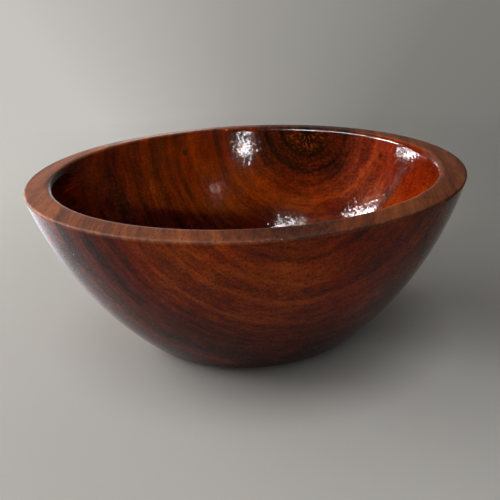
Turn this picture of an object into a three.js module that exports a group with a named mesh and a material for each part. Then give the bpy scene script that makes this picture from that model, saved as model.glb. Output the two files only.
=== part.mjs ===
// A wooden bowl turned from one block: a round wall on a hollowed foot, with a broad, gently sloping rim.
// Millimetres, +Z up. The origin is on the turning axis, at the surface that the bowl stands on.
import * as THREE from "three";

// Overall sizes, to the corners as they are before their edges are eased
const RIM_DIAMETER = 240;
const BOWL_HEIGHT = 95.7;
const FOOT_DIAMETER = 108;

// Rim: a flat band that falls towards the outside, with a rounded inner lip and a crisper outer edge
const RIM_WIDTH = 14.4;
const RIM_FALL = 1.3;
const INNER_LIP_RADIUS = 4;
const OUTER_EDGE_RADIUS = 0.9;

// Outer wall: one long curve that turns tightly under the bowl to meet the standing ring
const WALL_CURVE_RADIUS = 195;
const FOOT_TURN_RADIUS = 18;

// Inside: a rounder curve than the outer wall, and a wide turn to a flat floor that lies within the foot
const INNER_WALL_CURVE_RADIUS = 150;
const INSIDE_TURN_RADIUS = 48;
const FLOOR_HEIGHT = 15;
const FLOOR_SETBACK = 18;

// Underside: the ring that the bowl stands on, round a shallow recess with a leaning side
const STANDING_RING_WIDTH = 12;
const RECESS_DEPTH = 2.5;
const RECESS_SIDE_LEAN = 1.2;
const RING_EDGE_RADIUS = 0.8;

// Facets: steps round the bowl, and steps along each kind of curve in the profile
const STEPS_ROUND = 96;
const WALL_STEPS = 8;
const TURN_STEPS = 5;
const EASED_EDGE_STEPS = 4;

const WOOD_COLOUR = "#5a2210";
const LACQUER_ROUGHNESS = 0.25;

const point = (radius, height) => new THREE.Vector2(radius, height);

// The place where a straight line leaves a circle, going along the line.
function lineOutOfCircle(through, direction, centre, circleRadius) {
  const along = direction.clone().normalize();
  const offset = through.clone().sub(centre);
  const middle = offset.dot(along);
  const reach = Math.sqrt(middle ** 2 - offset.lengthSq() + circleRadius ** 2);
  return through.clone().addScaledVector(along, reach - middle);
}

// The place where two circles meet, to the left of the way from the first centre to the second.
function circlesMeet(first, firstRadius, second, secondRadius) {
  const way = second.clone().sub(first);
  const apart = way.length();
  const along = (apart ** 2 + firstRadius ** 2 - secondRadius ** 2) / (2 * apart);
  const aside = Math.sqrt(firstRadius ** 2 - along ** 2);
  way.normalize();
  return first.clone().addScaledVector(way, along).add(point(-way.y, way.x).multiplyScalar(aside));
}

// The point of a circle that lies in the direction of another point.
function towards(centre, target, circleRadius) {
  return centre.clone().addScaledVector(target.clone().sub(centre).normalize(), circleRadius);
}

// Points of the arc round a centre from one point to another, the short way.
function arc(centre, from, to, steps) {
  const start = from.clone().sub(centre);
  const end = to.clone().sub(centre);
  const turn = Math.atan2(start.cross(end), start.dot(end));
  const startAngle = start.angle();
  const curve = new THREE.ArcCurve(
    centre.x, centre.y, start.length(), startAngle, startAngle + turn, turn < 0);
  return curve.getPoints(steps);
}

// The closed half section of the bowl, from the axis under the foot round to the axis inside.
function bowlProfile() {
  const rimRadius = RIM_DIAMETER / 2;
  const footRadius = FOOT_DIAMETER / 2;
  const rimOuter = point(rimRadius, BOWL_HEIGHT - RIM_FALL);
  const rimInner = point(rimRadius - RIM_WIDTH, BOWL_HEIGHT);
  const outwards = rimOuter.clone().sub(rimInner).normalize();
  const intoRim = point(outwards.y, -outwards.x);

  // The outer wall passes through the rim's outer edge and runs on into the turn above the standing ring.
  const footTurn = point(footRadius, FOOT_TURN_RADIUS);
  const wallCentre = circlesMeet(footTurn, WALL_CURVE_RADIUS - FOOT_TURN_RADIUS, rimOuter, WALL_CURVE_RADIUS);
  const wallBottom = towards(wallCentre, footTurn, WALL_CURVE_RADIUS);

  // The inner wall passes through the rim's inner corner and runs on into the turn above the floor.
  const insideTurn = point(footRadius - FLOOR_SETBACK, FLOOR_HEIGHT + INSIDE_TURN_RADIUS);
  const innerWallCentre = circlesMeet(
    insideTurn, INNER_WALL_CURVE_RADIUS - INSIDE_TURN_RADIUS, rimInner, INNER_WALL_CURVE_RADIUS);
  const innerWallBottom = towards(innerWallCentre, insideTurn, INNER_WALL_CURVE_RADIUS);

  // The eased edges of the rim touch its face and the two walls.
  const edgeCentre = lineOutOfCircle(
    rimInner.clone().addScaledVector(intoRim, OUTER_EDGE_RADIUS), outwards,
    wallCentre, WALL_CURVE_RADIUS - OUTER_EDGE_RADIUS);
  const lipCentre = lineOutOfCircle(
    rimInner.clone().addScaledVector(intoRim, INNER_LIP_RADIUS), outwards,
    innerWallCentre, INNER_WALL_CURVE_RADIUS + INNER_LIP_RADIUS);
  const wallTop = towards(wallCentre, edgeCentre, WALL_CURVE_RADIUS);
  const innerWallTop = towards(innerWallCentre, lipCentre, INNER_WALL_CURVE_RADIUS);
  const rimFaceOutside = edgeCentre.clone().addScaledVector(intoRim, -OUTER_EDGE_RADIUS);
  const rimFaceInside = lipCentre.clone().addScaledVector(intoRim, -INNER_LIP_RADIUS);

  // The recess has a leaning side, eased where it meets the standing ring.
  const recessRadius = footRadius - STANDING_RING_WIDTH;
  const recessMouth = point(recessRadius, 0);
  const recessTop = point(recessRadius - RECESS_SIDE_LEAN, RECESS_DEPTH);
  const sideAngle = Math.atan2(RECESS_DEPTH, RECESS_SIDE_LEAN);
  const easedReach = RING_EDGE_RADIUS * Math.tan(sideAngle / 2);
  const ringEdge = point(recessRadius + easedReach, RING_EDGE_RADIUS);
  const recessSide = towards(recessMouth, recessTop, easedReach);

  return [
    point(0, RECESS_DEPTH),
    recessTop,
    ...arc(ringEdge, recessSide, point(ringEdge.x, 0), EASED_EDGE_STEPS),
    ...arc(footTurn, point(footRadius, 0), wallBottom, TURN_STEPS),
    ...arc(wallCentre, wallBottom, wallTop, WALL_STEPS).slice(1),
    ...arc(edgeCentre, wallTop, rimFaceOutside, EASED_EDGE_STEPS).slice(1),
    ...arc(lipCentre, rimFaceInside, innerWallTop, EASED_EDGE_STEPS),
    ...arc(innerWallCentre, innerWallTop, innerWallBottom, WALL_STEPS).slice(1),
    ...arc(insideTurn, innerWallBottom, point(insideTurn.x, FLOOR_HEIGHT), WALL_STEPS).slice(1),
    point(0, FLOOR_HEIGHT),
  ];
}

function makeTurnedBowl() {
  const geometry = new THREE.LatheGeometry(bowlProfile(), STEPS_ROUND);
  const wood = new THREE.MeshStandardMaterial({
    color: WOOD_COLOUR,
    roughness: LACQUER_ROUGHNESS,
    metalness: 0,
  });
  const bowl = new THREE.Mesh(geometry, wood);
  bowl.name = "turned_bowl";
  // A lathe turns its profile round Y, and the bowl's axis is Z.
  bowl.rotation.x = Math.PI / 2;
  return bowl;
}

const woodenBowl = new THREE.Group();
woodenBowl.add(makeTurnedBowl());

export default woodenBowl;
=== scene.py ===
# %% [markdown]
# # A turned wooden bowl
#
# This lesson dresses a bowl that was turned on a lathe from one block of dense red-brown wood.
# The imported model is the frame: it fixes the bowl's size and place, in metres, with Z up along the
# turning axis. Nothing here moves or resizes it. A smoother bowl takes the plain solid's place, and
# the work goes into the wood and the lacquer.

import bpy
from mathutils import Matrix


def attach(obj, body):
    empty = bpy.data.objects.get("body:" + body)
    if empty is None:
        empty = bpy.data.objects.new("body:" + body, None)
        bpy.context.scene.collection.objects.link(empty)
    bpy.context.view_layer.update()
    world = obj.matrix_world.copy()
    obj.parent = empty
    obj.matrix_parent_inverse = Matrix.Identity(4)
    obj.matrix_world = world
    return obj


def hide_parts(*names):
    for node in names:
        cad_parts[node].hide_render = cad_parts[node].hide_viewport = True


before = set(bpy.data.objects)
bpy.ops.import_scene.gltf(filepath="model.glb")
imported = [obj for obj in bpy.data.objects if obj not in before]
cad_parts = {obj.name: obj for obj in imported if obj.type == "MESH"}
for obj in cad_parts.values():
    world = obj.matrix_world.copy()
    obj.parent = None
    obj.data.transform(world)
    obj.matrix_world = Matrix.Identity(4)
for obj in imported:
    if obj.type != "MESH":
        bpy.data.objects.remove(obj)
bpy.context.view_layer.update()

# %% [markdown]
# ## Camera
#
# The camera comes first, because every later choice is judged through it. It stands in front of the
# bowl, a little above the rim, and looks down into the mouth. A short distance and a normal lens give
# the strong perspective of a bowl seen from close by. The camera is turned in three plain steps:
# a roll about its own axis, a tilt down from the horizontal, and a turn about the vertical.

# %% Place the camera
import math
import bpy
from mathutils import Matrix, Vector

MM = 0.001
CAMERA_PLACE = Vector((0.0, -393.7, 195.3)) * MM
CAMERA_TILT_DOWN = math.radians(20.94)
CAMERA_TURN = math.radians(-0.12)
CAMERA_ROLL = math.radians(-2.67)
CAMERA_LENS = 51.84
CAMERA_SENSOR = 36.0

scene = bpy.context.scene
camera = bpy.data.objects.new("camera", bpy.data.cameras.new("camera"))
scene.collection.objects.link(camera)
scene.camera = camera
camera.data.lens = CAMERA_LENS
camera.data.sensor_width = CAMERA_SENSOR
camera.matrix_world = (
    Matrix.Translation(CAMERA_PLACE)
    @ Matrix.Rotation(CAMERA_TURN, 4, "Z")
    @ Matrix.Rotation(math.pi / 2 - CAMERA_TILT_DOWN, 4, "X")
    @ Matrix.Rotation(CAMERA_ROLL, 4, "Z")
)
print("camera stands", round(CAMERA_PLACE.length / MM), "mm from the middle of the foot")

# %% [markdown]
# ## The bowl's section
#
# A turner works to a half section: the outline from the axis under the foot, out over the standing
# ring, up the wall, over the rim and down the inside to the axis again. Each stretch is an arc or a
# straight line that runs smoothly into the next. The arcs' centres follow from a few sizes: a corner
# that a curve has to pass through, and the curve that it has to touch. Points are (radius, height)
# in millimetres.

# %% Sizes of the section
RIM_RADIUS = 120.0
BOWL_HEIGHT = 95.7
RIM_WIDTH = 14.4
RIM_FALL = 1.3
INNER_LIP_RADIUS = 4.0
OUTER_EDGE_RADIUS = 0.9
WALL_CURVE_RADIUS = 195.0
FOOT_RADIUS = 54.0
FOOT_TURN_RADIUS = 18.0
INNER_WALL_CURVE_RADIUS = 150.0
INSIDE_TURN_RADIUS = 48.0
FLOOR_HEIGHT = 15.0
FLOOR_RADIUS = 36.0
RECESS_RADIUS = 42.0
RECESS_DEPTH = 2.5
RECESS_SIDE_LEAN = 1.2
RING_EDGE_RADIUS = 0.8


def circles_meet(first, first_radius, second, second_radius):
    """The place where two circles meet, to the left of the way from the first centre to the second."""
    way = second - first
    apart = way.length
    along = (apart**2 + first_radius**2 - second_radius**2) / (2 * apart)
    aside = math.sqrt(first_radius**2 - along**2)
    way.normalize()
    return first + way * along + Vector((-way.y, way.x)) * aside


def line_out_of_circle(through, direction, centre, radius):
    """The place where a straight line leaves a circle, going along the line."""
    offset = through - centre
    middle = offset.dot(direction)
    return through + direction * (math.sqrt(middle**2 - offset.length_squared + radius**2) - middle)


def towards(centre, target, radius):
    """The point of a circle that lies in the direction of another point."""
    return centre + (target - centre).normalized() * radius


# %% Centres and joints of the arcs
rim_outer = Vector((RIM_RADIUS, BOWL_HEIGHT - RIM_FALL))
rim_inner = Vector((RIM_RADIUS - RIM_WIDTH, BOWL_HEIGHT))
outwards = (rim_outer - rim_inner).normalized()
into_rim = Vector((outwards.y, -outwards.x))

foot_turn = Vector((FOOT_RADIUS, FOOT_TURN_RADIUS))
wall_centre = circles_meet(foot_turn, WALL_CURVE_RADIUS - FOOT_TURN_RADIUS, rim_outer, WALL_CURVE_RADIUS)
wall_bottom = towards(wall_centre, foot_turn, WALL_CURVE_RADIUS)
inside_turn = Vector((FLOOR_RADIUS, FLOOR_HEIGHT + INSIDE_TURN_RADIUS))
inner_wall_centre = circles_meet(
    inside_turn, INNER_WALL_CURVE_RADIUS - INSIDE_TURN_RADIUS, rim_inner, INNER_WALL_CURVE_RADIUS
)
inner_wall_bottom = towards(inner_wall_centre, inside_turn, INNER_WALL_CURVE_RADIUS)

edge_centre = line_out_of_circle(
    rim_inner + into_rim * OUTER_EDGE_RADIUS, outwards, wall_centre, WALL_CURVE_RADIUS - OUTER_EDGE_RADIUS
)
lip_centre = line_out_of_circle(
    rim_inner + into_rim * INNER_LIP_RADIUS,
    outwards,
    inner_wall_centre,
    INNER_WALL_CURVE_RADIUS + INNER_LIP_RADIUS,
)
wall_top = towards(wall_centre, edge_centre, WALL_CURVE_RADIUS)
inner_wall_top = towards(inner_wall_centre, lip_centre, INNER_WALL_CURVE_RADIUS)
rim_face_outside = edge_centre - into_rim * OUTER_EDGE_RADIUS
rim_face_inside = lip_centre - into_rim * INNER_LIP_RADIUS

recess_mouth = Vector((RECESS_RADIUS, 0.0))
recess_top = Vector((RECESS_RADIUS - RECESS_SIDE_LEAN, RECESS_DEPTH))
eased_reach = RING_EDGE_RADIUS * math.tan(math.atan2(RECESS_DEPTH, RECESS_SIDE_LEAN) / 2)
ring_edge = Vector((RECESS_RADIUS + eased_reach, RING_EDGE_RADIUS))
recess_side = towards(recess_mouth, recess_top, eased_reach)
print("wall thickness at the rim, mm:", round((wall_top - inner_wall_top).length, 2))

# %% [markdown]
# ## Drawing the section with one moving point
#
# One vertex starts on the axis under the foot. An extrusion carries it along a straight stretch, and
# a spin about an arc's centre carries it round that arc, leaving edges behind, so the arcs are true
# and no list of points is needed. A straight stretch is drawn in short steps, because smooth shading
# would otherwise spread the bend at its ends over its whole width.

# %% Draw the section
import bmesh

STRAIGHT_STEP = 1.5
ARC_STEP = math.radians(1.4)
EASED_STEP = math.radians(6)


def draw_straight(mesh, tip, target):
    """Extrudes the tip in even steps to the target and returns the new tip."""
    goal = Vector((target.x, 0.0, target.y)) * MM
    steps = max(1, round((goal - tip.co).length / (STRAIGHT_STEP * MM)))
    stride = (goal - tip.co) / steps
    for _ in range(steps):
        tip = bmesh.ops.extrude_vert_indiv(mesh, verts=[tip])["verts"][0]
        bmesh.ops.translate(mesh, verts=[tip], vec=stride)
    return tip


def draw_arc(mesh, tip, centre, target, step):
    """Spins the tip about a centre to the target, the short way, and returns the new tip."""
    start = Vector((tip.co.x, tip.co.z)) / MM - centre
    end = target - centre
    turn = math.atan2(start.x * end.y - start.y * end.x, start.dot(end))
    spun = bmesh.ops.spin(
        mesh,
        geom=[tip],
        cent=Vector((centre.x, 0.0, centre.y)) * MM,
        axis=(0.0, -1.0, 0.0),
        angle=turn,
        steps=math.ceil(abs(turn) / step),
    )
    return next(g for g in spun["geom_last"] if isinstance(g, bmesh.types.BMVert))


bowl_mesh = bmesh.new()
tip = bowl_mesh.verts.new((0.0, 0.0, RECESS_DEPTH * MM))
tip = draw_straight(bowl_mesh, tip, recess_top)
tip = draw_straight(bowl_mesh, tip, recess_side)
tip = draw_arc(bowl_mesh, tip, ring_edge, Vector((ring_edge.x, 0.0)), EASED_STEP)
tip = draw_straight(bowl_mesh, tip, Vector((FOOT_RADIUS, 0.0)))
tip = draw_arc(bowl_mesh, tip, foot_turn, wall_bottom, EASED_STEP / 2)
tip = draw_arc(bowl_mesh, tip, wall_centre, wall_top, ARC_STEP / 2)
tip = draw_arc(bowl_mesh, tip, edge_centre, rim_face_outside, EASED_STEP)
tip = draw_straight(bowl_mesh, tip, rim_face_inside)
tip = draw_arc(bowl_mesh, tip, lip_centre, inner_wall_top, EASED_STEP)
tip = draw_arc(bowl_mesh, tip, inner_wall_centre, inner_wall_bottom, ARC_STEP)
tip = draw_arc(bowl_mesh, tip, inside_turn, Vector((inside_turn.x, FLOOR_HEIGHT)), EASED_STEP / 2)
tip = draw_straight(bowl_mesh, tip, Vector((0.0, FLOOR_HEIGHT)))
print("the section has", len(bowl_mesh.edges), "short edges")

# %% [markdown]
# ## Turning the bowl
#
# The real bowl is made by turning the block against a tool, so a full spin of the section about the
# axis is the natural way to make it. The two ends of the section lie on the axis, where the spin
# leaves a stack of equal points. Merging doubles closes those poles, and the normals are then
# recalculated to point out of the wood.

# %% Spin the section into the bowl
STEPS_ROUND = 240
MERGE_REACH = 0.001 * MM

bmesh.ops.spin(
    bowl_mesh,
    geom=bowl_mesh.verts[:] + bowl_mesh.edges[:],
    cent=(0.0, 0.0, 0.0),
    axis=(0.0, 0.0, 1.0),
    angle=math.tau,
    steps=STEPS_ROUND,
    use_merge=True,
)
bmesh.ops.remove_doubles(bowl_mesh, verts=bowl_mesh.verts, dist=MERGE_REACH)
bmesh.ops.recalc_face_normals(bowl_mesh, faces=bowl_mesh.faces)
for face in bowl_mesh.faces:
    face.smooth = True

bowl = bpy.data.objects.new("lacquered_bowl", bpy.data.meshes.new("lacquered_bowl"))
open_edges = sum(not edge.is_manifold for edge in bowl_mesh.edges)
bowl_mesh.to_mesh(bowl.data)
bowl_mesh.free()
scene.collection.objects.link(bowl)
print("the bowl has", len(bowl.data.polygons), "faces and", open_edges, "open edges")

# %% [markdown]
# ## Helpers for materials
#
# Colours are written as sRGB hex values, as a paint chart gives them, and one function turns them to
# the linear numbers that a shader works with. Another small function adds any kind of node: it sets
# the node's own settings, links the inputs that are given as sockets, and fills in the rest. Three
# steps come again and again, so they have short names: a calculation, a rise from 0 to 1, and a blend.

# %% Colour and node helpers
# A Mix node has several sockets of one name, so the ones for colours go by number
MIX_FACTOR, MIX_A, MIX_B, MIX_COLOUR = 0, 6, 7, 2


def linear(hex_colour):
    """An sRGB hex colour as linear RGBA."""
    channels = [int(hex_colour[at : at + 2], 16) / 255 for at in (1, 3, 5)]
    return [c / 12.92 if c <= 0.04045 else ((c + 0.055) / 1.055) ** 2.4 for c in channels] + [1.0]


def add(tree, kind, inputs, **settings):
    """Adds a node of a kind with its settings, and links or fills in its inputs."""
    made = tree.nodes.new("ShaderNode" + kind)
    for name, value in settings.items():
        setattr(made, name, value)
    for name, value in inputs.items():
        if isinstance(value, bpy.types.NodeSocket):
            tree.links.new(value, made.inputs[name])
        else:
            made.inputs[name].default_value = value
    return made


def compute(tree, operation, *values):
    """Adds a calculation on plain numbers and returns its result."""
    return add(tree, "Math", dict(enumerate(values)), operation=operation).outputs[0]


def rise(tree, value, start, full, **settings):
    """Returns a share that is 0 where the value is at the start, and 1 where it is full."""
    limits = {"From Min": start, "From Max": full}
    return add(tree, "MapRange", {"Value": value, **limits}, **settings).outputs[0]


def blend(tree, share, first, second):
    """Returns a mix of two colours, by the share of the second."""
    mixed = add(tree, "Mix", {MIX_FACTOR: share, MIX_A: first, MIX_B: second}, data_type="RGBA")
    return mixed.outputs[MIX_COLOUR]


def set_stops(ramp_node, stops):
    """Gives a colour ramp its (place, colour) stops, in order."""
    elements = ramp_node.color_ramp.elements
    while len(elements) < len(stops):
        elements.new(1.0)
    for element, (place, colour) in zip(elements, stops):
        element.position = place
        element.color = colour


print("mid grey #808080 is", round(linear("#808080")[0], 3), "in linear light")

# %% [markdown]
# ## Where the wood grew
#
# A block of wood has its pattern all the way through, so the grain is made as a solid: growth rings
# are cylinders round the pith, the log's centre line. The pith passes just above the front rim and
# goes through the far wall a little under its rim, where it shows as a dark spot. Every pattern below
# is read in the log's own directions, in millimetres: X and Y across the grain, Z along it. A Mapping
# node of type Texture does that, by undoing the log's place, turn and scale.

# %% Grain directions
PITH_IN_FRONT = Vector((20.6, -110.0, 128.3)) * MM
PITH_AT_BACK = Vector((43.6, 103.0, 92.7)) * MM
log_turn = (PITH_AT_BACK - PITH_IN_FRONT).to_track_quat("Z", "Y").to_euler()

# Dense rosewood under gloss lacquer: deep red-brown, with small white sparks
wood = bpy.data.materials.new("lacquered_rosewood_gloss")
wood.use_nodes = True
tree = wood.node_tree
tree.nodes.clear()
object_place = add(tree, "TexCoord", {}).outputs["Object"]
grain = add(
    tree,
    "Mapping",
    {"Vector": object_place, "Location": PITH_AT_BACK, "Rotation": log_turn, "Scale": (MM, MM, MM)},
    vector_type="TEXTURE",
).outputs[0]
log_lean = math.degrees((PITH_AT_BACK - PITH_IN_FRONT).angle(Vector((0, 1, 0))))
print("the log lies", round(log_lean, 1), "degrees off Y")

# %% [markdown]
# ## Growth rings
#
# Each year's ring starts pale and darkens slowly towards its end, and then the next starts pale at
# once. That saw-tooth is a colour ramp over the distance from the pith. A slow noise sways the rings,
# because a trunk is never quite round, and a second one lets a ring fade and come back.

# %% Distance from a swaying pith
RING_SPAN = 160.0
SWAY = 9.0
# Size in mm: both ways across the log, and along it
SWAY_SIZE = (45.0, 45.0, 220.0)
SWAY_DETAIL = 4.0


def scaled(place, size):
    """Measures a place in steps of a size, which has its own number of mm for each direction."""
    steps_per_mm = tuple(1 / reach for reach in size)
    return add(tree, "VectorMath", {0: place, 1: steps_per_mm}, operation="MULTIPLY").outputs[0]


def noise(place, size, detail):
    """Adds a noise with features of a size."""
    return add(tree, "TexNoise", {"Vector": scaled(place, size), "Scale": 1.0, "Detail": detail})


sway = noise(grain, SWAY_SIZE, SWAY_DETAIL).outputs["Color"]
swayed = add(
    tree, "VectorMath", {0: sway, 1: (SWAY, SWAY, 0), 2: grain}, operation="MULTIPLY_ADD"
).outputs[0]
across = add(
    tree, "VectorMath", {0: swayed, 1: (1, 1, 0), 2: (-SWAY / 2, -SWAY / 2, 0)}, operation="MULTIPLY_ADD"
).outputs[0]
from_pith = add(tree, "VectorMath", {0: across}, operation="LENGTH").outputs["Value"]
ring_share = compute(tree, "DIVIDE", from_pith, RING_SPAN)
print("rings are drawn up to", RING_SPAN, "mm from the pith, swaying by", SWAY / 2, "mm")

# %% Rings by distance from the pith
# Where each ring ends, in mm from the pith, and how dark its end is
RINGS = (
    (9, 0.5),
    (18, 0.9),
    (28.5, 1.0),
    (37, 0.6),
    (46, 0.9),
    (56, 0.5),
    (66, 1.0),
    (79, 0.8),
    (91, 0.9),
    (104, 0.8),
    (116, 0.9),
    (128, 0.8),
    (141, 0.9),
    (155, 0.8),
)
RING_CHANGE = 1.6
RING_SHARPNESS = 2.0
FADE_SIZE = (22.0, 22.0, 120.0)
FADE_DETAIL = 3.0
FADE_LOW, FADE_HIGH, FADED_SHARE = 0.35, 0.65, 0.1

ring_stops = [(0.0, (0.0, 0.0, 0.0, 1.0))]
for ring_end, strength in RINGS:
    ring_stops.append(((ring_end - RING_CHANGE / 2) / RING_SPAN, (strength, strength, strength, 1.0)))
    ring_stops.append(((ring_end + RING_CHANGE / 2) / RING_SPAN, (0.0, 0.0, 0.0, 1.0)))
ring_ramp = add(tree, "ValToRGB", {"Fac": ring_share})
set_stops(ring_ramp, ring_stops)
ring_growth = compute(tree, "POWER", ring_ramp.outputs["Color"], RING_SHARPNESS)

fade = noise(grain, FADE_SIZE, FADE_DETAIL).outputs["Color"]
fade_parts = add(tree, "SeparateXYZ", {0: fade})
ring_strength = add(
    tree,
    "MapRange",
    {"Value": fade_parts.outputs[0], "From Min": FADE_LOW, "From Max": FADE_HIGH, "To Min": FADED_SHARE},
).outputs[0]
rings = compute(tree, "MULTIPLY", ring_growth, ring_strength)
print("rings:", len(RINGS), "ramp stops:", len(ring_stops))

# %% [markdown]
# ## Fine lines, fibres and figure
#
# Between the rings' ends run softer bands and many fine, broken lines of growth. Both follow the rings,
# so their noise is read in three measures of the log: the distance from the pith, the way round it, and
# the way along it. The way round has a seam, which is put straight above the pith, where there is no wood.
# Fibres give short soft streaks along the grain, which become a fine mottle where the wall cuts across
# it. A slow change of tone, some centimetres wide, keeps any two places from looking alike.

# %% Smaller patterns of the grain
# Sizes in mm: away from the pith, round it, and along the log
BAND_SIZE, BAND_DETAIL = (5.0, 70.0, 160.0), 1.0
LINE_SIZE, LINE_DETAIL = (1.4, 6.0, 40.0), 3.0
# The distance from the pith at which the way round is in true mm
USUAL_REACH = 60.0
# Sizes in mm: both ways across the log, and along it
FIBRE_SIZE, FIBRE_DETAIL = (1.2, 1.2, 24.0), 2.0
TONE_SIZE, TONE_DETAIL = (34.0, 34.0, 90.0), 3.0

side = add(tree, "SeparateXYZ", {0: across})
downwards = compute(tree, "MULTIPLY", side.outputs["Y"], -1.0)
angle = compute(tree, "ARCTAN2", side.outputs["X"], downwards)
way_round = compute(tree, "MULTIPLY", angle, USUAL_REACH)
way_along = add(tree, "SeparateXYZ", {0: grain}).outputs["Z"]
ring_place = add(tree, "CombineXYZ", {"X": from_pith, "Y": way_round, "Z": way_along}).outputs[0]
bands = noise(ring_place, BAND_SIZE, BAND_DETAIL).outputs["Fac"]
fine_lines = noise(ring_place, LINE_SIZE, LINE_DETAIL).outputs["Fac"]
fibres = noise(grain, FIBRE_SIZE, FIBRE_DETAIL).outputs["Fac"]
tone = noise(grain, TONE_SIZE, TONE_DETAIL).outputs["Color"]
tone_parts = add(tree, "SeparateXYZ", {0: tone})
print("lines", LINE_SIZE[0], "mm and fibres", FIBRE_SIZE[0], "mm across")

# %% [markdown]
# ## The rubbed rim
#
# The flat top of the rim and its edges were rubbed back after lacquering, so they are satin, and their
# wood looks paler and drier than the walls. A mask by radius and height finds that face, for its colour
# in the next cell and its gloss later. The lower half of the inner lip stays glossy.

# %% Where the rim's face is
# How far satin reaches over the inner lip and down the outer edge, in mm: its start, and where it is full
OVER_LIP = (3.2, 2.0)
DOWN_EDGE = (1.7, 0.9)
SATIN_START, SATIN_FULL = (rim_face_inside.x - reach for reach in OVER_LIP)
SATIN_LOW, SATIN_HIGH = (rim_outer.y - reach for reach in DOWN_EDGE)

flat_place = add(tree, "VectorMath", {0: object_place, 1: (1, 1, 0)}, operation="MULTIPLY").outputs[0]
radius_here = add(tree, "VectorMath", {0: flat_place}, operation="LENGTH").outputs["Value"]
height_here = add(tree, "SeparateXYZ", {0: object_place}).outputs["Z"]
past_lip = rise(tree, radius_here, SATIN_START * MM, SATIN_FULL * MM)
near_top = rise(tree, height_here, SATIN_LOW * MM, SATIN_HIGH * MM)
rim_face = compute(tree, "MULTIPLY", past_lip, near_top)
print("satin from radius", round(SATIN_FULL, 1), "mm, above", round(SATIN_HIGH, 1), "mm")

# %% [markdown]
# ## Wood colour
#
# The patterns add up to one depth, from pale to dark. Wood near the pith is darkest. Far from the pith
# more depth is added as painted shade, which falls on the lower outer wall and the inner left wall. Three
# colour ramps turn the depth into wood. A redder and a more orange one are for the lacquered walls, where
# a slow noise chooses between them. The third is for the rubbed rim, which is left out of the painted
# shade and so stays pale far from the pith.

# %% Depth and colour of the wood
RED_WOOD = ("#942b07", "#6a1a04", "#3a0d03", "#190602")
ORANGE_WOOD = ("#ac440c", "#7c2908", "#461405", "#1e0903")
RUBBED_WOOD = ("#b4622b", "#8a421b", "#50220e", "#2a100a")
DEPTH_STOPS = (0.0, 0.38, 0.75, 1.0)
RING_SHARE, BAND_SHARE, LINE_SHARE, FIBRE_SHARE, TONE_SHARE = 0.34, 0.7, 0.75, 0.65, 0.5
DEPTH_OFFSET = -1.03
RED_UP_TO, ORANGE_FROM = 0.38, 0.62
# Added depth at distances from the pith, in mm
CORE_TONES = ((0, 0.6), (14, 0.5), (32, 0.4), (46, 0.0))
# Painted shade: depth added far from the pith, which darkens the lower outer wall and the inner left wall
FAR_PAINTED_SHADE = ((78, 0.0), (96, 0.24), (160, 0.32))

pith_tones = []
for stops in (CORE_TONES, FAR_PAINTED_SHADE):
    pith_tone_ramp = add(tree, "ValToRGB", {"Fac": ring_share})
    set_stops(pith_tone_ramp, [(reach / RING_SPAN, (darker, darker, darker, 1.0)) for reach, darker in stops])
    pith_tones.append(pith_tone_ramp.outputs["Color"])
depth = compute(tree, "MULTIPLY_ADD", rings, RING_SHARE, DEPTH_OFFSET)
for pattern, share in (
    (bands, BAND_SHARE),
    (fine_lines, LINE_SHARE),
    (fibres, FIBRE_SHARE),
    (tone_parts.outputs[0], TONE_SHARE),
):
    depth = compute(tree, "MULTIPLY_ADD", pattern, share, depth)
depth = compute(tree, "ADD", pith_tones[0], depth)
painted_shade_depth = compute(tree, "ADD", pith_tones[1], depth)
wood_colours = []
for shades, shade_depth in ((RED_WOOD, painted_shade_depth), (ORANGE_WOOD, painted_shade_depth), (RUBBED_WOOD, depth)):
    shade_ramp = add(tree, "ValToRGB", {"Fac": shade_depth})
    set_stops(shade_ramp, [(place, linear(shade)) for place, shade in zip(DEPTH_STOPS, shades)])
    wood_colours.append(shade_ramp.outputs["Color"])
orange_share = rise(tree, tone_parts.outputs[1], RED_UP_TO, ORANGE_FROM)
colour = blend(tree, orange_share, wood_colours[0], wood_colours[1])
colour = blend(tree, rim_face, colour, wood_colours[2])
print("wood ramps:", len(wood_colours), "with", len(DEPTH_STOPS), "shades each")

# %% [markdown]
# ## Pores
#
# A hardwood's pores are fine tubes along the grain. Cut across they are dark dots, and cut along they
# are dark dashes. They are about 0.2 mm wide, too fine to show from here, so they are drawn a few times
# wider. A Voronoi texture stretched along the grain gives one pore in each cell.

# %% Pores
# Size of a pore's cell in mm: both ways across the log, and along it
PORE_SIZE = (1.1, 1.1, 10.0)
PORE_COLOUR = "#1c0805"
# Where a pore is darkest and where it ends, in cells
PORE_CORE, PORE_EDGE = 0.16, 0.36
PORE_DARKNESS = 0.75

pore_cells = add(tree, "TexVoronoi", {"Vector": scaled(grain, PORE_SIZE), "Scale": 1.0})
pore_shape = rise(tree, pore_cells.outputs["Distance"], PORE_EDGE, PORE_CORE)
pore_depth = add(tree, "SeparateXYZ", {0: pore_cells.outputs["Color"]}).outputs[0]
pores = compute(tree, "MULTIPLY", pore_shape, pore_depth)
pore_darkness = compute(tree, "MULTIPLY", pores, PORE_DARKNESS)
colour = blend(tree, pore_darkness, colour, linear(PORE_COLOUR))
print("pores", PORE_SIZE[0], "mm apart and", PORE_SIZE[2], "mm long")

# %% [markdown]
# ## The pith and the pin knots
#
# Where the log's centre comes through the wall there is a black spot in a dark eye, with short orange
# flecks round it, where the wood's rays start. Their noise is read round the pith like the lines above,
# but with flecks that are longer away from the pith than round it. A few pin knots, where small twigs
# grew, are dark spots at places chosen one by one.

# %% Pith and pin knots
PITH_CORE, PITH_EDGE = 2.6, 5.0
FLECK_REACH = 17.0
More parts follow.
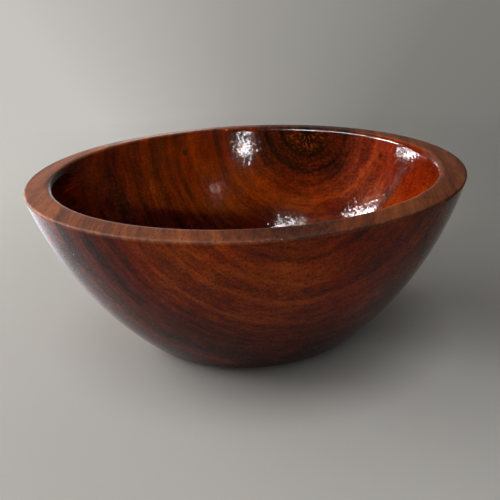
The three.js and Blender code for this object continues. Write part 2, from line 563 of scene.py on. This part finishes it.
# Size in mm: away from the pith, round it, and along the log
FLECK_SIZE, FLECK_DETAIL = (3.0, 9.0, 6.0), 2.0
FLECK_FROM, FLECK_FULL = 0.52, 0.7
KNOT_COLOUR = "#120605"
FLECK_COLOUR = "#9a4814"
# Where a pin knot is darkest and where it ends, in radii
KNOT_CORE, KNOT_EDGE = 0.5, 2.0
# Places on the bowl and radii, in mm
PIN_KNOTS = (
    ((88.1, 54.9, 83.8), 1.6),
    ((88.4, 34.3, 63.4), 1.8),
    ((99.5, 25.8, 81.0), 1.5),
    ((-40.9, 94.8, 82.6), 1.8),
    ((14.6, 97.2, 70.1), 1.3),
)

fleck_noise = noise(ring_place, FLECK_SIZE, FLECK_DETAIL).outputs["Fac"]
fleck_nearness = rise(tree, from_pith, FLECK_REACH, PITH_EDGE)
fleck_shape = rise(tree, fleck_noise, FLECK_FROM, FLECK_FULL)
flecks = compute(tree, "MULTIPLY", fleck_nearness, fleck_shape)
colour = blend(tree, flecks, colour, linear(FLECK_COLOUR))
dark_spots = rise(tree, from_pith, PITH_EDGE, PITH_CORE)
for place, radius in PIN_KNOTS:
    away = add(
        tree, "VectorMath", {0: object_place, 1: Vector(place) * MM}, operation="DISTANCE"
    ).outputs["Value"]
    spot = rise(tree, away, KNOT_EDGE * radius * MM, KNOT_CORE * radius * MM)
    dark_spots = compute(tree, "MAXIMUM", dark_spots, spot)
colour = blend(tree, dark_spots, colour, linear(KNOT_COLOUR))
print("pin knots:", len(PIN_KNOTS))

# %% [markdown]
# ## The lacquer
#
# The walls carry a clear gloss lacquer, with an index of refraction of about 1.5. It is thin and follows
# the wood's pores and the last fine tool marks, so a lamp's reflection has a white core that breaks up
# into sparks at its edge. The pores dent the surface by a bump. The tool marks are small facets: each
# cell of a Voronoi texture leans the normal its own way, most of them hardly at all. Real marks are
# finer than this picture shows, so the facets are drawn coarser. The specular level is below a usual
# lacquer's, because the outer wall hardly mirrors the pale floor under it: the eye gets deep, clear wood.

# %% Finish of the surface
# A polished lacquer film is smooth, a rubbed one scatters widely, and the rim's worn outer edge most
GLOSS_ROUGHNESS, SATIN_ROUGHNESS, WORN_ROUGHNESS = 0.08, 0.4, 0.78
# The width over which satin turns to worn, in mm
WORN_BLEND = 0.6
LACQUER_IOR = 1.5
LACQUER_SPECULAR = 0.1
PIT_DEPTH = 0.002 * MM
# Size of a facet in mm, the most that one leans, and a power that makes strong leans rare
FACET_SIZE = 0.7
FACET_TILT = 0.075
FACET_POWER = 5

rubbed = add(
    tree, "MapRange", {"Value": rim_face, "To Min": GLOSS_ROUGHNESS, "To Max": SATIN_ROUGHNESS}
).outputs[0]
face_end = rim_face_outside.x
past_face = rise(tree, radius_here, (face_end - WORN_BLEND) * MM, face_end * MM)
worn_edge = compute(tree, "MULTIPLY", past_face, near_top)
roughness = add(
    tree, "MapRange", {"Value": worn_edge, "To Min": rubbed, "To Max": WORN_ROUGHNESS}
).outputs[0]
bump = add(
    tree, "Bump", {"Height": pores, "Strength": 1.0, "Distance": PIT_DEPTH}, invert=True
).outputs[0]
facet_cells = add(tree, "TexVoronoi", {"Vector": object_place, "Scale": 1 / (FACET_SIZE * MM)})
# A cell's random colour runs from 0 to 1, and a lean from -1 to 1
facet_way = add(
    tree,
    "VectorMath",
    {0: facet_cells.outputs["Color"], 1: (2, 2, 2), 2: (-1, -1, -1)},
    operation="MULTIPLY_ADD",
).outputs[0]
facet_lean = facet_way
for _ in range(FACET_POWER - 1):
    facet_lean = add(tree, "VectorMath", {0: facet_lean, 1: facet_way}, operation="MULTIPLY").outputs[0]
facet_tilt = add(tree, "VectorMath", {0: facet_lean, "Scale": FACET_TILT}, operation="SCALE").outputs[0]
tilted = add(tree, "VectorMath", {0: bump, 1: facet_tilt}).outputs[0]
facets = add(tree, "VectorMath", {0: tilted}, operation="NORMALIZE").outputs[0]
surface = add(
    tree,
    "BsdfPrincipled",
    {
        "Base Color": colour,
        "Roughness": roughness,
        "IOR": LACQUER_IOR,
        "Specular IOR Level": LACQUER_SPECULAR,
        "Normal": facets,
    },
).outputs[0]
add(tree, "OutputMaterial", {"Surface": surface})
bowl.data.materials.append(wood)
print(wood.name, "has", len(tree.nodes), "nodes")

# %% [markdown]
# ## Floor
#
# A plain pale floor carries the bowl and keeps its shadow. It is wide enough to fill the picture.

# %% Floor plane
FLOOR_SIZE = 24.0

floor_mesh = bmesh.new()
bmesh.ops.create_grid(floor_mesh, x_segments=1, y_segments=1, size=FLOOR_SIZE / 2)
floor = bpy.data.objects.new("floor", bpy.data.meshes.new("floor"))
floor_mesh.to_mesh(floor.data)
floor_mesh.free()
scene.collection.objects.link(floor)
print("floor", FLOOR_SIZE, "m wide")

# %% [markdown]
# ## The floor as a backdrop
#
# Away from the bowl the floor turns into a backdrop by its own glow, which the camera and any mirror
# or glass see, and which puts no light on the bowl. The glow's tone changes with the direction from the
# bowl: paler on the left as painted window light, and darker behind on the right as painted shade. It
# fades to nothing under the bowl, so the shadow stays.

# %% Glow of the floor
# Tones by how far the direction points to the right: -1 is left, 1 is right
# The pale left tones are painted window light, and the dark right ones behind are painted shade
GLOW_IN_FRONT = ((-1.0, "#dad7d2"), (0.4, "#dcd9d4"), (0.8, "#cecbc6"), (1.0, "#a8a5a0"))
GLOW_BEHIND = ((-1.0, "#cecbc6"), (-0.3, "#c6c3be"), (0.0, "#9e9b96"), (0.3, "#7e7c77"), (1.0, "#666460"))
# How far the direction points away from the camera where the tones behind start and where they are full
BEHIND_FROM, BEHIND_FULL = -0.5, 0.6
# Share of the glow at distances from the axis, in metres
GLOW_SHARES = ((0.054, 0.0), (0.085, 0.12), (0.12, 0.34), (0.3, 0.46), (0.7, 1.0))

# Matt paint: one even pale tone, with a soft shadow and no mirror image
floor_paint = bpy.data.materials.new("matt_paint_pale_grey")
floor_paint.use_nodes = True
paint = floor_paint.node_tree
paint.nodes.clear()
floor_place = add(paint, "TexCoord", {}).outputs["Object"]
floor_way = add(paint, "VectorMath", {0: floor_place}, operation="NORMALIZE").outputs[0]
floor_parts = add(paint, "SeparateXYZ", {0: floor_way})
side_share = rise(paint, floor_parts.outputs["X"], -1.0, 1.0)
glows = []
for stops in (GLOW_IN_FRONT, GLOW_BEHIND):
    glow_ramp = add(paint, "ValToRGB", {"Fac": side_share})
    set_stops(glow_ramp, [((to_right + 1) / 2, linear(shade)) for to_right, shade in stops])
    glows.append(glow_ramp.outputs["Color"])
behind_share = rise(paint, floor_parts.outputs["Y"], BEHIND_FROM, BEHIND_FULL)
glow_colour = blend(paint, behind_share, glows[0], glows[1])
floor_glow = add(paint, "Emission", {"Color": glow_colour}).outputs[0]
floor_reach = add(paint, "VectorMath", {0: floor_place}, operation="LENGTH").outputs["Value"]
share_ramp = add(paint, "ValToRGB", {"Fac": floor_reach})
set_stops(share_ramp, [(reach, (share, share, share, 1.0)) for reach, share in GLOW_SHARES])
print("the glow starts", GLOW_SHARES[0][0], "m from the axis and is full at", GLOW_SHARES[-1][0], "m")

# %% Which rays see the glow
ray_kind = add(paint, "LightPath", {})
seen = compute(paint, "MAXIMUM", ray_kind.outputs["Is Camera Ray"], ray_kind.outputs["Is Glossy Ray"])
seen = compute(paint, "MAXIMUM", ray_kind.outputs["Is Transmission Ray"], seen)
glow_seen = compute(paint, "MULTIPLY", share_ramp.outputs["Color"], seen)
print("camera, glossy and transmission rays see the glow")

# %% [markdown]
# ## The floor's paint and its painted sheen
#
# The paint itself is matt and takes the bowl's shadow. On the window's side two patches of the floor glow
# a
# cool grey for mirror rays alone: a painted reflection of window light, which only the lacquer shows, as
# the grey edge down the bowl's left. The near patch shows low on the wall and the far one under the rim.

# %% Paint and painted sheen of the floor
FLOOR_COLOUR = "#a8a5a0"
FLOOR_ROUGHNESS = 0.8
FLOOR_SPECULAR = 0.0
PAINTED_SHEEN_COLOUR = "#989ea8"
# Middle of each painted sheen patch, distances from it where it starts and where it is full, in metres,
# and strength
PAINTED_SHEENS = (
    ((-0.195, 0.0, 0.0), 0.15, 0.03, 1.0),
    ((-0.32, 0.2, 0.0), 0.27, 0.08, 3.2),
)

matt = add(
    paint,
    "BsdfPrincipled",
    {
        "Base Color": linear(FLOOR_COLOUR),
        "Roughness": FLOOR_ROUGHNESS,
        "Specular IOR Level": FLOOR_SPECULAR,
    },
).outputs[0]
floor_mix = add(paint, "MixShader", {0: glow_seen, 1: matt, 2: floor_glow}).outputs[0]
painted_sheen_share = 0.0
for middle, start, full, strength in PAINTED_SHEENS:
    away = add(paint, "VectorMath", {0: floor_place, 1: middle}, operation="DISTANCE").outputs["Value"]
    level = add(
        paint,
        "MapRange",
        {"Value": away, "From Min": start, "From Max": full, "To Max": strength},
        interpolation_type="SMOOTHSTEP",
    ).outputs[0]
    painted_sheen_share = compute(paint, "ADD", level, painted_sheen_share)
# The sheen is a painted reflection: these patches of floor glow for mirror rays only
painted_sheen_seen = compute(paint, "MULTIPLY", painted_sheen_share, ray_kind.outputs["Is Glossy Ray"])
painted_sheen = add(paint, "Emission", {"Color": linear(PAINTED_SHEEN_COLOUR), "Strength": painted_sheen_seen}).outputs[0]
floor_surface = add(paint, "AddShader", {0: floor_mix, 1: painted_sheen}).outputs[0]
add(paint, "OutputMaterial", {"Surface": floor_surface})
floor.data.materials.append(floor_paint)
print(floor_paint.name, "has", len(paint.nodes), "nodes")

# %% [markdown]
# ## Light
#
# The light is that of a plain studio: a weak glow all round, one wide soft window on the left, and a
# narrow lamp in front that lifts the near wall and the far side of the inside. These light the wood at a
# plain level. Mirrors see a dim room with a pale backdrop behind the bowl, which gives the rim its sheen.

# %% Soft light all round
BACKDROP_LEFT, BACKDROP_RIGHT = "#c0bdb9", "#75736f"
ROOM_GLOW, FILL_GLOW = "#3c3b39", "#5a5856"
# The shares of the left, of behind and of low down: the axis, where it is 0, and where it is 1
BACKDROP_LIMITS = (("X", 0.12, -0.2), ("Y", 0.8, 0.9), ("Z", 0.44, 0.32))

world = bpy.data.worlds.new("soft_room")
scene.world = world
world.use_nodes = True
air = world.node_tree
air.nodes.clear()
sky_way = add(air, "SeparateXYZ", {0: add(air, "TexCoord", {}).outputs["Generated"]})
shares = []
for axis, start, full in BACKDROP_LIMITS:
    shares.append(rise(air, sky_way.outputs[axis], start, full, interpolation_type="SMOOTHSTEP"))
left_share, behind, low_down = shares
backdrop_share = compute(air, "MULTIPLY", behind, low_down)
backdrop_tone = blend(air, left_share, linear(BACKDROP_RIGHT), linear(BACKDROP_LEFT))
glow = blend(air, backdrop_share, linear(ROOM_GLOW), backdrop_tone)
fill_rays = add(air, "LightPath", {}).outputs["Is Diffuse Ray"]
glow = blend(air, fill_rays, glow, linear(FILL_GLOW))
add(air, "OutputWorld", {"Surface": add(air, "Background", {"Color": glow}).outputs[0]})
print("light on the wood from all round:", FILL_GLOW)

# %% [markdown]
# ## Lamps and mirrored panes
#
# Each lamp is a rectangle, placed by its direction from a place on the bowl, because on a glossy wall the
# place of a reflection depends on that direction. Its brightness is given as seen, with 1 as white, and
# its power follows from its area. The window and the lamp in front light the bowl and are not mirrored.
# The panes are the other way round: small bright panes that show only as sparks in the lacquer. Lacquer
# mirrors about a hundredth of what is in front of it, so a white spark needs a pane of a hundred or so.

# %% How a lamp is placed
MIRROR_BOUNCES, LIGHT_BOUNCES = 1, 8


def way_to(azimuth, elevation):
    """The direction at an angle from +Y towards +X, and an angle above the horizon."""
    turn, lift = math.radians(azimuth), math.radians(elevation)
    return Vector((math.sin(turn) * math.cos(lift), math.cos(turn) * math.cos(lift), math.sin(lift)))


def add_lamp(name, seen_from, left_corner, right_corner, height, brightness, distance, mirrored):
    """A rectangular lamp, placed by the directions in which a point of the bowl sees its lower corners.

    A mirrored lamp shows in the lacquer alone, and any other one lights the bowl and the floor unseen.
    """
    here = Vector(seen_from) * MM
    left, right = (here + way_to(*corner) * distance for corner in (left_corner, right_corner))
    along = right - left
    back = ((left + right) / 2 - here).normalized()
    up = back.cross(-along).normalized()
    data = bpy.data.lights.new(name, "AREA")
    data.shape = "RECTANGLE"
    data.size = along.length
    data.size_y = 2 * distance * math.tan(math.radians(height / 2))
    data.energy = brightness * math.pi * data.size * data.size_y
    lamp = bpy.data.objects.new(name, data)
    turned = Matrix((up.cross(back), up, back)).transposed()
    lamp.matrix_world = Matrix.Translation((left + right) / 2 + up * data.size_y / 2) @ turned.to_4x4()
    lamp.visible_camera = False
    lamp.visible_diffuse = not mirrored
    lamp.visible_glossy = mirrored
    # A pane counts in the first mirror alone, so no stray sparks are left on the wood
    data.cycles.max_bounces = MIRROR_BOUNCES if mirrored else LIGHT_BOUNCES
    scene.collection.objects.link(lamp)
    print(name, "has", round(data.energy, 2), "W")
    return data


# %% Place the lamps and panes
WINDOW_DISTANCE, ROOM_DISTANCE = 0.9, 2.6
KEY_SPREAD = math.radians(2.6)
# Name, place on the bowl (mm), lower corners (azimuth, elevation), height (degrees), brightness
WINDOW = ("window", (0, 0, 60), (-100, 6), (-42, 6), 26, 10.5)
KEY = ("lamp_in_front", (-40, -110, 72), (177.5, 15), (-177.5, 15), 2.2, 0.7)
PANES = (
    ("pane_low", (98, 33, 89), (-63, -1), (-44, -3), 6.5, 120),
    ("pane_high", (80, 39, 55), (-77, 31), (-60, 19.6), 8, 170),
    ("pane_between", (55, 62, 45), (-104, 53), (-80, 40), 8, 85),
    ("pane_above", (28, 72, 38), (-140, 58), (-110, 50.5), 8, 150),
    ("pane_in_front", (0, 102, 83), (176.5, 22), (-175, 22), 5.5, 150),
    ("pane_pale", (-21, 89, 59), (148, 40), (159, 40.5), 2.5, 18),
    ("pane_far", (105, -3, 93), (-15, 0), (-6, 0), 7, 4),
)

add_lamp(*WINDOW, distance=WINDOW_DISTANCE, mirrored=False)
key = add_lamp(*KEY, distance=ROOM_DISTANCE, mirrored=False)
key.spread = KEY_SPREAD
for pane in PANES:
    add_lamp(*pane, distance=ROOM_DISTANCE, mirrored=True)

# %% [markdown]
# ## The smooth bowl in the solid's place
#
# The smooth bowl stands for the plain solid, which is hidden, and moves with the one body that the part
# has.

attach(bowl, "root")
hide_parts("turned_bowl")
scene.view_settings.view_transform = "Standard"
